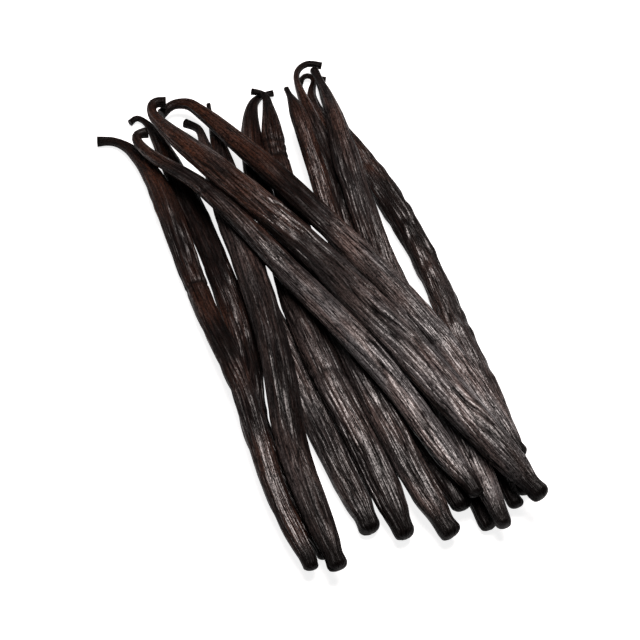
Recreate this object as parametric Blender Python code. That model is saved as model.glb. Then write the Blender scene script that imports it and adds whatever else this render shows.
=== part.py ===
"""A loose bundle of fourteen cured vanilla pods, lying as they were laid down.

Metres, +Z up, resting on Z = 0. The pods run along Y, with their cut stems towards +Y and their
blunt tips towards -Y. Eleven lie side by side, some over the edge of the next, and three cross
them on top. Every pod is one solid: a thin round stem, most of them hooked, a neck that widens, a
flattened body and a blunt end.
"""

import math

import bmesh
import bpy
import numpy as np
from mathutils import Vector
from mathutils.geometry import interpolate_bezier

MM = 0.001
BUNDLE = "vanilla_pods"

# Shared form, in millimetres
FLARE = 1.15  # how much wider the cut end of a stem is
FLARE_LENGTH = 1.5
CUT_RISE = 0.3  # how far the cut face stands out in its middle
NECK_GAIN = 0.55  # the share of its widening that a neck has made halfway down
BODY_PEAK = 0.66  # where the lower body's width is measured, as a share of the length
TAPER_START = 0.95  # the width where the taper to the tip starts, over the lower body's
TAPER_GAIN = 0.38  # the share of its narrowing that a taper has made halfway down
TIP = 4  # length of the blunt end, whose width is even
FLATNESS = 0.62  # thickness over width, in the body
CAP_FLATNESS = 0.85  # the same at the blunt end
UNEVEN = 0.0175  # each of two waves that the width makes along a pod, as a share of it
WAVES = ((11, 2.3), (6.1, 4.1))  # for each, the length of a radian, and the shift from pod to pod

# How a pod lies, in millimetres
CLEARANCE = 0.4  # air between two pods that touch
BEND_RADIUS = 90  # how tightly a pod bends over the ones below it
STEP = 1.0  # spacing of the points that are used to lay a pod
BLEND = 8  # how many of these points on each side a height is blended with
BLEND_ROUNDS = 3

# Mesh of a pod
SIDES = 12
RINGS = 24  # from the cut end to the start of the tip
TIP_RINGS = 5
TIP_STRETCH = 12  # the part at the tip with rings of its own
BODY_SPACING = 14  # rings stand about this far apart on a straight body,
NECK_SPACING = 6  # this far apart on the stem and the neck
RING_TURN = math.radians(20)  # and closer where the route turns by this much
SHARP_ANGLE = math.radians(50)

HUSK = {"color": (0.045, 0.026, 0.018, 1.0), "roughness": 0.42, "metallic": 0.0}

# Each pod in the order it was laid. First its widths: at the stem, where the neck ends, in the
# lower body and at the tip. Then how long the thin stem, the neck and the taper to the tip are. Then
# the places that its middle passes over, seen from above, from the cut end of the stem to the tip.
# All in millimetres.
PODS = (
    ("pod_01", (1.8, 8.2, 8.2, 4.6), (6, 30, 26),
     ((-31, 92), (-28, 93), (-25.4, 87), (-23.6, 62), (-23, 30), (-25.4, -6), (-31, -31), (-29, -58),
      (-26, -78))),
    ("pod_02", (1.5, 7.8, 8.4, 4.6), (7, 44, 24),
     ((34, 88), (32, 89), (31, 85), (30.4, 72), (33.2, 52), (36.8, 15), (36.4, -20), (36, -50),
      (34, -78))),
    ("pod_03", (1.7, 6.4, 7.0, 4.2), (9, 28, 22),
     ((25, 88), (28, 91), (30, 89), (27, 82), (26, 72), (28, 54), (26, 30), (26, 0), (28, -35),
      (29.3, -82))),
    ("pod_04", (2.0, 6.2, 7.4, 4.8), (16, 28, 26),
     ((34, 92), (30, 94), (26, 92), (24, 88), (23, 81), (22, 62), (20, 30), (19, -10), (20, -50),
      (20, -85))),
    ("pod_05", (1.2, 7.0, 9.6, 5.6), (3, 26, 18),
     ((-5, 91), (-6, 85), (-8, 70), (-11, 40), (-15, 10), (-14, -20), (-13, -45), (-11.6, -75))),
    ("pod_06", (2.5, 9.0, 9.2, 5.6), (7, 40, 30),
     ((-15, 84), (-12, 80), (-12, 75), (-14, 50), (-16.2, 10), (-19, -15), (-24.2, -45), (-25.4, -85))),
    ("pod_07", (1.5, 5.8, 7.6, 6.2), (2, 10, 16),
     ((18.4, 82), (18.3, 71), (16.4, 50), (14, 23), (12, -5), (12, -35), (13, -62), (15, -78))),
    ("pod_08", (2.5, 7.6, 6.6, 4.2), (7, 32, 24),
     ((-43, 88), (-38, 86), (-34, 80), (-31, 65), (-31, 40), (-31.8, 12), (-31, -12), (-32.4, -38),
      (-33.4, -58), (-31.4, -81.5))),
    ("pod_09", (1.8, 7.2, 10.0, 6.4), (4, 18, 24),
     ((16, 88), (12, 88), (8, 85), (4, 75), (-1, 53), (-3, 25), (-6, 0), (-6, -24), (-4, -52),
      (-3.6, -80.6))),
    ("pod_10", (1.8, 6.8, 8.8, 5.8), (4, 18, 22),
     ((9, 89), (12.2, 86.6), (12, 82), (8.4, 66), (5.8, 48), (3, 20), (3, -10), (3.6, -35), (5, -62),
      (8.5, -85))),
    ("pod_11", (2.4, 8.6, 8.2, 4.8), (7, 34, 26),
     ((30, 88), (30, 79), (29, 68), (26, 45), (23.2, 15), (22, -15), (22, -40), (23, -65), (23, -88))),
    ("pod_12", (2.9, 6.6, 8.4, 5.0), (7, 46, 26),
     ((-28, 82), (-31, 82), (-32, 79), (-29, 70), (-20, 52), (-8, 20), (0, -5), (9, -35), (19, -78))),
    ("pod_13", (3.0, 7.4, 8.6, 4.8), (5, 34, 26),
     ((-21, 90), (-16, 92), (-11, 89), (-1, 63), (7, 38), (15.6, 12), (23.6, -14), (30, -38), (36, -69))),
    ("pod_14", (3.0, 8.6, 11.2, 5.6), (7, 38, 30),
     ((-19, 91), (-22, 92), (-24, 90), (-24, 85), (-19.6, 69.4), (-8, 40.6), (4, 14.6), (13, -15),
      (22, -43), (35.4, -85))),
)


def route(places):
    """Points every STEP or so along a smooth curve through the places, and how far along each is."""
    knots = [Vector(place) for place in places]
    knots = [2 * knots[0] - knots[1], *knots, 2 * knots[-1] - knots[-2]]
    points = []
    for before, start, end, after in zip(knots, knots[1:], knots[2:], knots[3:]):
        reach = (end - start).length / 3
        leave = start + reach * (end - before).normalized()
        arrive = end - reach * (after - start).normalized()
        count = max(3, round(3 * reach / STEP) + 1)
        points += interpolate_bezier(start, leave, arrive, end, count)[:-1]
    points = np.array([*points, knots[-2]])
    along = np.concatenate([[0], np.cumsum(np.linalg.norm(np.diff(points, axis=0), axis=1))])
    return points, along


def half_sizes(along, widths, stretches, number):
    """Half the width and half the thickness of a pod at each point along it."""
    thin, upper, lower, tip = widths
    stem, neck, taper = stretches
    length = along[-1]
    taper_start = length - taper
    profile = (
        (0, FLARE * thin),
        (FLARE_LENGTH, thin),
        (stem, thin),
        (stem + neck / 2, thin + NECK_GAIN * (upper - thin)),
        (stem + neck, upper),
        (BODY_PEAK * length, lower),
        (taper_start, TAPER_START * lower),
        (taper_start + taper / 2, lower + TAPER_GAIN * (tip - lower)),
        (length - TIP, tip),
        (length, tip),
    )
    places, sizes = zip(*profile)
    body = np.clip((along - stem) / neck, 0, 1)
    end = np.clip((along - taper_start) / taper, 0, 1)
    waves = sum(np.sin(along / long + shift * number) for long, shift in WAVES)
    wide = np.interp(along, places, sizes) * (1 + UNEVEN * body * (1 - end) * waves)
    flatness = 1 + (FLATNESS - 1) * body + (CAP_FLATNESS - FLATNESS) * end
    return wide / 2, wide * flatness / 2


def smooth(values):
    """The values with each blended into its neighbours, ends kept."""
    padded = np.pad(values, BLEND, mode="edge")
    weights = np.hanning(2 * BLEND + 3)[1:-1]
    return np.convolve(padded, weights / weights.sum(), "valid")


def lie(points, along, half_width, half_thick, below):
    """How high the middle of a pod lies over the floor and over the pods laid before it."""
    need = half_thick * math.cos(math.pi / SIDES)
    for other_points, other_height, other_width, other_thick in below:
        apart = np.linalg.norm(points[:, None] - other_points[None], axis=2)
        share = apart / (half_width[:, None] + other_width[None] + CLEARANCE / 2)
        stacked = half_thick[:, None] + other_thick[None] + CLEARANCE
        lift = stacked * np.sqrt(np.maximum(1 - share**2, 0))
        over = np.where(share < 1, other_height[None] + lift, 0)
        need = np.maximum(need, over.max(axis=1))
    sag = (along[:, None] - along[None]) ** 2 / (2 * BEND_RADIUS)
    height = (need[None] - sag).max(axis=1)
    for _ in range(BLEND_ROUNDS):
        height = np.maximum(smooth(height), need)
    return height


def stations(points, along, stretches):
    """How far along each ring of a pod stands, with the two ends: closer where the pod bends."""
    stem, neck, _ = stretches
    length = along[-1]
    steps = np.diff(points, axis=0)
    headings = np.unwrap(np.arctan2(steps[:, 1], steps[:, 0]))
    turning = np.abs(np.diff(headings, prepend=headings[0]))
    spacing = np.where(along[1:] < stem + neck / 2, NECK_SPACING, BODY_SPACING)
    wanted = np.concatenate([[0], np.cumsum(np.diff(along) / spacing + turning / RING_TURN)])
    last = np.interp(length - TIP_STRETCH, along, wanted)
    body = np.interp(np.linspace(0, last, RINGS, endpoint=False), wanted, along)
    tip = length - TIP_STRETCH * (1 - np.sin(np.linspace(0, math.pi / 2, TIP_RINGS, endpoint=False)))
    return np.concatenate([[0], body, tip, [length]])


def pod_mesh(name, points, along, half_width, half_thick, height, stretches):
    """A pod: a sphere whose rings are moved along the route and drawn out to the pod's sections."""
    length = along[-1]
    places = stations(points, along, stretches)
    middle = np.stack([np.interp(places, along, values) for values in (*points.T, height)], axis=1)
    heading = np.gradient(np.stack([*points.T, height], axis=1), along, axis=0)
    heading = np.stack([np.interp(places, along, values) for values in heading.T], axis=1)
    wide = np.interp(places, along, half_width)
    thick = np.interp(places, along, half_thick)
    cap = half_width[-1]
    rounding = np.sqrt(np.clip(1 - ((places - length + cap) / cap).clip(0, 1) ** 2, 0, 1))
    wide *= rounding
    thick *= rounding

    mesh = bpy.data.meshes.new(name)
    bm = bmesh.new()
    bmesh.ops.create_uvsphere(bm, u_segments=SIDES, v_segments=len(places) - 1, radius=1)
    for vertex in bm.verts:
        polar = math.acos(max(-1, min(1, vertex.co.z)))
        ring = round(polar / math.pi * (len(places) - 1))
        around = math.atan2(vertex.co.y, vertex.co.x) + math.pi / SIDES
        forward = Vector(heading[ring]).normalized()
        side = forward.cross(Vector((0, 0, 1))).normalized()
        up = side.cross(forward)
        if ring == 0:
            offset = -CUT_RISE * forward
        else:
            offset = side * (wide[ring] * math.cos(around)) + up * (thick[ring] * math.sin(around))
        vertex.co = (Vector(middle[ring]) + offset) * MM
    bm.to_mesh(mesh)
    bm.free()
    mesh.shade_smooth()
    mesh.set_sharp_from_angle(angle=SHARP_ANGLE)
    return mesh


def husk_material(name):
    """The dark, oily skin of a cured pod."""
    material = bpy.data.materials.new(name + "_husk")
    material.use_nodes = True
    shader = material.node_tree.nodes["Principled BSDF"]
    shader.inputs["Base Color"].default_value = HUSK["color"]
    shader.inputs["Roughness"].default_value = HUSK["roughness"]
    shader.inputs["Metallic"].default_value = HUSK["metallic"]
    return material


def build():
    """Lay the pods one after another, each over those before it, and centre the bundle."""
    for thing in list(bpy.data.objects):
        bpy.data.objects.remove(thing, do_unlink=True)
    collection = bpy.data.collections.new(BUNDLE)
    bpy.context.scene.collection.children.link(collection)
    bundle = bpy.data.objects.new(BUNDLE, None)
    collection.objects.link(bundle)
    laid = []
    pods = []
    for number, (name, widths, stretches, places) in enumerate(PODS):
        points, along = route(places)
        half_width, half_thick = half_sizes(along, widths, stretches, number)
        height = lie(points, along, half_width, half_thick, laid)
        laid.append((points, height, half_width, half_thick))
        mesh = pod_mesh(name, points, along, half_width, half_thick, height, stretches)
        mesh.materials.append(husk_material(name))
        pod = bpy.data.objects.new(name, mesh)
        pod.parent = bundle
        collection.objects.link(pod)
        pods.append(pod)
    corners = np.array([vertex.co for pod in pods for vertex in pod.data.vertices])
    low = corners.min(axis=0)
    high = corners.max(axis=0)
    bundle.location = (-(low[0] + high[0]) / 2, -(low[1] + high[1]) / 2, -low[2])


build()
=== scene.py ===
import math

import bpy
import numpy as np
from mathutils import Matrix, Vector


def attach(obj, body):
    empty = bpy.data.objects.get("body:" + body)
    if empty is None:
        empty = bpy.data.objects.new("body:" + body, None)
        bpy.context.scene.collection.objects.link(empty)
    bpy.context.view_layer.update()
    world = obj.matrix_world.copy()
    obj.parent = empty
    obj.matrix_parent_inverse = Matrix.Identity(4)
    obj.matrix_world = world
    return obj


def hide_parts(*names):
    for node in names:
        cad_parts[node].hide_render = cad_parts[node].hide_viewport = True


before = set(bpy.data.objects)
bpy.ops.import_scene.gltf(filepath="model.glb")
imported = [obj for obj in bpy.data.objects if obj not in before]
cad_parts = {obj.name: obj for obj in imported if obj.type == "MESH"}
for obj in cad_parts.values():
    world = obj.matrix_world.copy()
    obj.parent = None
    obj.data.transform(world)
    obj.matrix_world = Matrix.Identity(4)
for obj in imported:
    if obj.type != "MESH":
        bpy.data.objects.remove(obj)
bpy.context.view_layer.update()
MM = 0.001

# ---- The pods ----
# Each is the whole cured fruit of the vanilla vine: a leathery husk full of seed paste, dried and
# sweated until it is nearly black, oily and flattened. The skin shrank as it dried, so it lies in
# long furrows. Nothing holds the pods: they lie on each other as they were put down.

SIDES = 12  # points round each ring of a pod's solid
COLUMNS = 160  # points round the skin
ROW_GAP = 1.0 * MM
CAP_ROWS = 9
CAP_BLUNT = 2.6  # 2 is a half round end, more is squarer
SQUARE = 2.4  # the same for the section across a pod


def rings_of(node):
    """The points of each ring round a pod's solid, from the middle of the cut stem to the tip."""
    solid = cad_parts[node].data
    corners = np.array([vertex.co for vertex in solid.vertices])
    points, same = np.unique(corners.round(7), axis=0, return_inverse=True)
    faces = same.ravel()[np.array([face.vertices[:] for face in solid.polygons])]
    near = [set() for _ in points]
    for face in faces:
        for corner in face:
            near[corner].update(face)
    poles = [number for number, others in enumerate(near) if len(others) > SIDES]
    ring = [max(poles, key=lambda pole: points[pole][1])]
    found = set(ring)
    rings = []
    while ring:
        rings.append(points[ring])
        ring = sorted(set().union(*(near[number] for number in ring)) - found)
        found.update(ring)
    return rings


def sections_of(node):
    """Where the rings of a pod's solid stand, their middles, half widths and half thicknesses."""
    rings = rings_of(node)
    middles = np.array([ring.mean(axis=0) for ring in rings])
    middles[0] = middles[1]
    forward = np.gradient(middles, axis=0)
    halves = []
    for ring, middle, ahead in zip(rings[1:-1], middles[1:-1], forward[1:-1]):
        flat = np.linalg.svd(ring - middle)[2][2]
        flat *= np.sign(flat @ ahead)
        side = np.cross(flat, (0, 0, 1))
        side /= np.linalg.norm(side)
        up = np.cross(side, flat)
        halves.append([abs((ring - middle) @ side).max(), abs((ring - middle) @ up).max()])
    halves = np.array(halves) / math.cos(math.pi / SIDES)
    halves[-2:] = halves[-3]
    middles = middles[1:]
    places = np.concatenate([[0], np.cumsum(np.linalg.norm(np.diff(middles, axis=0), axis=1))])
    return places, middles, np.concatenate([halves, halves[-1:]])


def through(places, values, wanted):
    """A smooth curve through the values at these places, read at the wanted ones."""
    slopes = np.gradient(values, places, axis=0)
    after = np.clip(np.searchsorted(places, wanted, "right"), 1, len(places) - 1)
    gap = (places[after] - places[after - 1])[:, None]
    t = (wanted - places[after - 1])[:, None] / gap
    return ((1 + 2 * t) * (1 - t) ** 2 * values[after - 1] + t * (1 - t) ** 2 * gap * slopes[after - 1]
            + t * t * (3 - 2 * t) * values[after] - t * t * (1 - t) * gap * slopes[after])


def unit(vectors):
    return vectors / np.linalg.norm(vectors, axis=-1, keepdims=True)


def rough(random, around, along, cells, long):
    """Smooth noise from -1 to 1 that closes round the pod: cells round it, each this long."""
    columns = around / (2 * math.pi) * cells
    column = np.floor(columns).astype(int)
    over = columns - column
    over = over * over * (3 - 2 * over)
    left, right = column % cells, (column + 1) % cells
    start = random.uniform(0, 2, cells)
    rows = along / long + start[left] * (1 - over) + start[right] * over
    row = np.floor(rows).astype(int)
    down = rows - row
    down = down * down * (3 - 2 * down)
    values = random.uniform(-1, 1, (row.max() + 2, cells))
    return ((values[row, left] * (1 - over) + values[row, right] * over) * (1 - down)
            + (values[row + 1, left] * (1 - over) + values[row + 1, right] * over) * down)


def swell(noise, width):
    """0 along the lines where the noise is nought, rounding up to 1 this far from them."""
    return np.sin(np.clip(abs(noise) / width, 0, 1) * math.pi / 2)


def skin_mesh(name, seed, look):
    """The wrinkled skin of one pod over its solid."""
    places, middles, halves = sections_of(name)
    random = np.random.default_rng(seed)
    length = places[-1]
    cap = 0.9 * halves[-1, 0]
    rise = np.linspace(0, math.pi / 2, CAP_ROWS + 1)[1:-1]
    body = np.linspace(0, length - cap, round((length - cap) / ROW_GAP))
    stations = np.concatenate([[0, 0], body, length - cap + cap * np.sin(rise)])
    beyond = np.clip((stations - length + cap) / cap, 0, 1)
    shrink = (1 - beyond ** CAP_BLUNT) ** (1 / CAP_BLUNT)
    shrink[:2] = 0.45, 0.85
    to_tip = (length - stations) / MM
    knob = look["knob"] * (np.exp(-((to_tip - 2.5) / 2) ** 2) - np.exp(-((to_tip - 7.5) / 3) ** 2))
    middle = through(places, middles, stations)
    forward = unit(through(places, np.gradient(middles, places, axis=0), stations))
    side = unit(np.cross(forward, (0, 0, 1)))
    up = np.cross(side, forward)
    near_tip = np.exp(-(to_tip / 7) ** 2)
    wander = np.stack([np.interp(stations, np.arange(0, length + 9 * MM, 4.5 * MM),
                                 random.uniform(-1, 1, len(np.arange(0, length + 9 * MM, 4.5 * MM))))
                       for _ in range(2)], axis=1)
    half = through(places, halves, stations) * (1 + knob[:, None] + 0.13 * near_tip[:, None] * wander)
    middle += side * (near_tip * wander[::-1, 0] * 0.35 * MM)[:, None]
    wide, thick = half[:, :1], half[:, 1:]

    around = np.linspace(0, 2 * math.pi, COLUMNS, endpoint=False)[None] - math.pi / 2
    along = np.repeat(stations[:, None], COLUMNS, axis=1)
    around = np.repeat(around, len(stations), axis=0)
    size = np.clip(wide / (3.5 * MM), 0.15, 1.3)
    turned = (around + 0.2 * rough(random, around, along, 5, 22 * MM)
              + 0.35 * rough(random, around, along, 2, 60 * MM) + 6 * math.pi)
    wavy = turned + 0.05 * rough(random, turned, along, 9, 6 * MM)
    folds = rough(random, turned, along, 5, 40 * MM)
    groove = 1 - swell(rough(random, turned, along, 9, 45 * MM), 0.16)
    pleats = rough(random, wavy, along, 20, 26 * MM)
    ridges = swell(pleats, 0.4)
    cracks = 1 - swell(pleats, 0.14)
    creases = swell(rough(random, wavy, along, 46, 12 * MM), 0.6)
    lumps = rough(random, around + 6 * math.pi, along, 9, 3.5 * MM)
    uneven = 0.5 + 0.5 * rough(random, around + 6 * math.pi, along, 3, 24 * MM)
    depth = (0.35 * folds - 0.6 * groove * uneven + look["ridges"] * (0.4 + 0.6 * uneven) * (ridges - 0.7)
             + 0.09 * (creases - 0.6) + look["lumps"] * lumps) * MM * size
    # Painted shade: darker skin colour in the bottoms of the grooves, pleats and creases.
    furrow_shade_and_dark_ends = np.clip(0.9 * groove * uneven + 0.85 * cracks + 0.4 * (1 - creases) ** 2, 0, 1)
    patches = rough(random, around + 6 * math.pi, along, 4, 14 * MM)
    glints = rough(random, wavy, along, 26, 9 * MM)
    upper = np.clip(1 - along / (0.55 * length), 0, 1)
    lower = np.clip((along / length - 0.4) / 0.3, 0, 1)
    ends = np.exp(-(to_tip / 8) ** 4)[:, None] + np.exp(-(stations / MM / 9) ** 2)[:, None]
    rust = np.clip(look["rust"] * (0.5 + upper) + 0.5 * patches - 0.1, 0, 1) * (1 - 0.8 * ends)
    # Paler greyish skin towards the tip: partly the pod's bloom, partly painted sheen.
    pale = np.clip(look["pale"] * lower + 0.35 * patches * lower + look["pale_top"], 0, 1) * (1 - ends)
    shine = np.clip(look["shine"] + 0.7 * glints + 0.3 * patches - 0.6 * upper, 0, 1)
    # The tip and the stem end are also made darker.
    furrow_shade_and_dark_ends = np.maximum(furrow_shade_and_dark_ends, 0.85 * ends)
    # Painted shade also darkens each cross kink.
    for place in look["kinks"]:
        kink = np.exp(-((along / MM - place + 2.5 * patches + 0.7 * lumps) / 0.8) ** 2)
        depth -= 0.3 * MM * kink
        furrow_shade_and_dark_ends = np.maximum(furrow_shade_and_dark_ends, 0.9 * kink)
    for place, turn in look["stains"]:
        stain = np.exp(-((along / MM - place) / 7) ** 2 - ((around - turn) / 0.35) ** 2)
        rust = np.clip(rust + 0.7 * stain, 0, 1)
        shine *= 1 - 0.6 * stain
    depth *= shrink[:, None] ** 0.5
    across, upward = np.cos(around), np.sin(around)
    square = (abs(across) ** SQUARE + abs(upward) ** SQUARE) ** (-1 / SQUARE)
    outward = unit(np.stack([across / wide, upward / thick], axis=-1))
    flat = np.stack([across * wide, upward * thick], axis=-1) * (square * shrink[:, None])[..., None]
    flat += outward * depth[..., None]
    points = middle[:, None] + side[:, None] * flat[..., :1] + up[:, None] * flat[..., 1:]
    points = points.reshape(-1, 3)
    start, end = middle[0], middles[-1]
    points = np.concatenate([points, [start, end]])
    points[:, 2] = np.maximum(points[:, 2], 0)

    rows = len(stations)
    near = np.arange(COLUMNS)
    far = (near + 1) % COLUMNS
    base = np.arange(rows - 1)[:, None] * COLUMNS
    quads = np.stack([base + near, base + COLUMNS + near, base + COLUMNS + far, base + far], axis=-1).reshape(-1, 4)
    first, last = rows * COLUMNS, rows * COLUMNS + 1
    top = [(first, int(a), int(b)) for a, b in zip(near, far)]
    bottom = [(last, int(b), int(a)) for a, b in zip((rows - 1) * COLUMNS + near, (rows - 1) * COLUMNS + far)]
    mesh = bpy.data.meshes.new(name + "_skin")
    mesh.from_pydata(points.tolist(), [], quads.tolist() + top + bottom)
    mesh.update()
    mesh.shade_smooth()

    straight = np.stack([across * wide, upward * thick, along], axis=-1).reshape(-1, 3)
    straight = np.concatenate([straight, [[0, 0, 0], [0, 0, length]]]) / MM + [0, 0, 250 * seed]
    layer = mesh.attributes.new("straight", "FLOAT_VECTOR", "POINT")
    layer.data.foreach_set("vector", straight.astype(np.float32).ravel())
    for title, values in (("furrow_shade_and_dark_ends", furrow_shade_and_dark_ends), ("rust", rust), ("pale", pale), ("shine", shine)):
        layer = mesh.attributes.new(title, "FLOAT", "POINT")
        layer.data.foreach_set("value", np.concatenate([values.ravel(), [0, 0]]).astype(np.float32))
    return mesh


class Wire:
    """An output in a material. Sums on it add Math nodes, and node() adds any other kind."""

    def __init__(self, socket):
        self.socket = socket

    def node(self, kind, settings, sockets, output=0):
        tree = self.socket.id_data
        made = tree.nodes.new(kind)
        for name, value in settings.items():
            setattr(made, name, value)
        for name, value in sockets.items():
            if isinstance(value, Wire):
                tree.links.new(value.socket, made.inputs[name])
            else:
                made.inputs[name].default_value = value
        return Wire(made.outputs[output])

    def maths(self, operation, first, second=0.0):
        return self.node("ShaderNodeMath", {"operation": operation}, {0: first, 1: second})

    def __add__(self, other):
        return self.maths("ADD", self, other)

    def __sub__(self, other):
        return self.maths("SUBTRACT", self, other)

    def __rsub__(self, other):
        return self.maths("SUBTRACT", other, self)

    def __mul__(self, other):
        return self.maths("MULTIPLY", self, other)

    def __abs__(self):
        return self.maths("ABSOLUTE", self)

    __radd__ = __add__
    __rmul__ = __mul__

    def clamped(self, low, high):
        """This value as a share of the way from low to high."""
        return self.node("ShaderNodeMapRange", {}, {"Value": self, "From Min": low, "From Max": high})

    def mix(self, first, second):
        """Two colours, blended by this value."""
        return self.node("ShaderNodeMix", {"data_type": "RGBA"}, {"Factor": self, 6: first, 7: second}, 2)


def skin_material(name):
    """Dark brown husk with redder streaks and a greyish bloom that is partly painted sheen, with painted shade in its
    furrows and along its fine creases, under a thin film of its own oil.
    """
    material = bpy.data.materials.new(name + "_husk")
    material.use_nodes = True
    tree = material.node_tree
    shader = tree.nodes["Principled BSDF"]

    def layer(title, output):
        reader = tree.nodes.new("ShaderNodeAttribute")
        reader.attribute_name = title
        return Wire(reader.outputs[output])

    straight = layer("straight", "Vector")
    furrow_shade_and_dark_ends, rust, pale, shine = [layer(title, "Fac") for title in ("furrow_shade_and_dark_ends", "rust", "pale", "shine")]

    def streaks(scale, stretch, detail=3.0):
        place = straight.node("ShaderNodeVectorMath", {"operation": "MULTIPLY"}, {0: straight, 1: (1, 1, stretch)})
        return place.node("ShaderNodeTexNoise", {}, {"Vector": place, "Scale": scale, "Detail": detail})

    fine = streaks(1.1, 0.05, 2.0)
    thread = streaks(2.6, 0.06, 1.0)
    grain = streaks(2.3, 0.6, 1.5).clamped(0.4, 0.6)
    tint = streaks(0.35, 0.15, 0.0).clamped(0.4, 0.6)
    # Painted shade: thin dark lines along the fine creases, which the bump also sinks.
    lines = abs(fine - 0.5).clamped(0.004, 0.034) * (0.3 + 0.7 * abs(thread - 0.5).clamped(0.0, 0.05))
    plain = thread.clamped(0.35, 0.65)
    open_skin = lines * (1 - furrow_shade_and_dark_ends)
    color = plain.mix((0.0035, 0.0017, 0.0014, 1), (0.010, 0.0046, 0.0036, 1))
    color = (rust * (0.3 + 0.7 * grain)).mix(color, (0.086, 0.031, 0.016, 1))
    # Painted sheen mixed with the pod's greyish bloom.
    bloom_and_sheen = tint.mix((0.178, 0.140, 0.131, 1), (0.140, 0.133, 0.136, 1))
    color = (pale * (0.35 + 0.3 * plain + 0.5 * grain)).mix(color, bloom_and_sheen)
    # Painted shade: the skin turns near black along these lines and in the shaded furrows.
    color = open_skin.mix((0.0012, 0.0007, 0.0006, 1), color)
    tree.links.new(color.socket, shader.inputs["Base Color"])
    gloss = shine * open_skin * (0.1 + 0.4 * plain + 0.7 * grain)
    tree.links.new(gloss.socket, shader.inputs["Coat Weight"])
    shader.inputs["Coat Roughness"].default_value = 0.3
    shader.inputs["Coat IOR"].default_value = 1.65
    shader.inputs["Roughness"].default_value = 0.5
    shader.inputs["Specular IOR Level"].default_value = 0.06
    relief = lines * 0.6 + plain * 0.2 + grain * 0.3
    bump = relief.node("ShaderNodeBump", {}, {"Height": relief, "Strength": 1.0, "Distance": 0.00025})
    tree.links.new(bump.socket, shader.inputs["Normal"])
    return material


# pale and pale_top set the greyish bloom, which is partly painted sheen.
PLAIN = {"ridges": 0.30, "lumps": 0.08, "rust": 0.25, "shine": 0.8, "pale": 0.25, "pale_top": 0.0, "knob": 0.0,
         "kinks": (), "stains": ()}
LOOKS = {
    "pod_01": {"lumps": 0.14, "pale": -0.25, "shine": 0.45},
    "pod_02": {"lumps": 0.25, "ridges": 0.36, "pale": 0.15},
    "pod_05": {"knob": 0.05, "pale": 0.3},
    "pod_06": {"ridges": 0.14, "shine": 0.35, "rust": 0.25, "pale": 0.0, "pale_top": 0.2},
    "pod_07": {"pale": 0.1},
    "pod_08": {"rust": 0.4, "lumps": 0.14, "pale": -0.25, "shine": 0.45, "kinks": (71,)},
    "pod_09": {"kinks": (121,)},
    "pod_10": {"knob": 0.03, "kinks": (25, 28, 31)},
    "pod_11": {"rust": 0.3, "pale": 0.45, "pale_top": 0.12},
    "pod_12": {"ridges": 0.12, "shine": 1.0, "pale": 1.2, "pale_top": 0.03, "kinks": (40,)},
    "pod_13": {"rust": 0.5, "pale": 0.75},
    "pod_14": {"rust": 0.5, "knob": 0.05, "pale": 0.65, "stains": ((139, 1.6),)},
}

for seed, name in enumerate(sorted(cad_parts), start=1):
    mesh = skin_mesh(name, seed, {**PLAIN, **LOOKS.get(name, {})})
    mesh.materials.append(skin_material(name))
    pod = bpy.data.objects.new(name + "_skin", mesh)
    bpy.context.scene.collection.objects.link(pod)
    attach(pod, "root")
    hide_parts(name)

# ---- The floor ----
# A plain white sweep that the pods lie on.

floor_mesh = bpy.data.meshes.new("floor")
REACH = 3.0
floor_mesh.from_pydata([(-REACH, -REACH, 0), (REACH, -REACH, 0), (REACH, REACH, 0), (-REACH, REACH, 0)],
                       [], [(0, 1, 2, 3)])
floor_material = bpy.data.materials.new("floor_white")
floor_material.use_nodes = True
paper = floor_material.node_tree.nodes["Principled BSDF"]
paper.inputs["Base Color"].default_value = (0.6, 0.6, 0.61, 1)
paper.inputs["Roughness"].default_value = 0.9
paper.inputs["Specular IOR Level"].default_value = 0.1
paper.inputs["Emission Color"].default_value = (1, 1, 1, 1)
paper.inputs["Emission Strength"].default_value = 0.84
floor_mesh.materials.append(floor_material)
floor = bpy.data.objects.new("floor", floor_mesh)
floor.location.z = -0.0002
bpy.context.scene.collection.objects.link(floor)

# ---- Light and camera ----
# A large soft box high behind the bundle and to its right, and pale walls all round.

world = bpy.data.worlds.new("studio")
world.use_nodes = True
world.node_tree.nodes["Background"].inputs["Color"].default_value = (1.0, 1.0, 1.0, 1)
world.node_tree.nodes["Background"].inputs["Strength"].default_value = 0.08
bpy.context.scene.world = world


def soft_box(name, place, size, power):
    """A square light that faces the bundle."""
    lamp = bpy.data.lights.new(name, "AREA")
    lamp.size = size
    lamp.energy = power
    lamp.color = (1.0, 0.9, 0.87)
    box = bpy.data.objects.new(name, lamp)
    box.location = place
    box.rotation_mode = "QUATERNION"
    box.rotation_quaternion = (-Vector(place)).to_track_quat("-Z", "Y")
    bpy.context.scene.collection.objects.link(box)


soft_box("overhead", (0.2, 0.25, 1.0), 0.6, 17)

AZIMUTH, ELEVATION = math.radians(-20), math.radians(55)
DISTANCE = 0.68
TARGET = Vector((1.31, -3.46, 0)) * MM
lens = bpy.data.cameras.new("camera")
lens.lens = 127.5
lens.sensor_width = 36
lens.clip_start = 0.01
camera = bpy.data.objects.new("camera", lens)
back = Vector((math.sin(AZIMUTH) * math.cos(ELEVATION), -math.cos(AZIMUTH) * math.cos(ELEVATION), math.sin(ELEVATION)))
camera.location = TARGET + DISTANCE * back
camera.rotation_mode = "QUATERNION"
camera.rotation_quaternion = (-back).to_track_quat("-Z", "Y")
bpy.context.scene.collection.objects.link(camera)
bpy.context.scene.camera = camera
bpy.context.scene.view_settings.view_transform = "Standard"
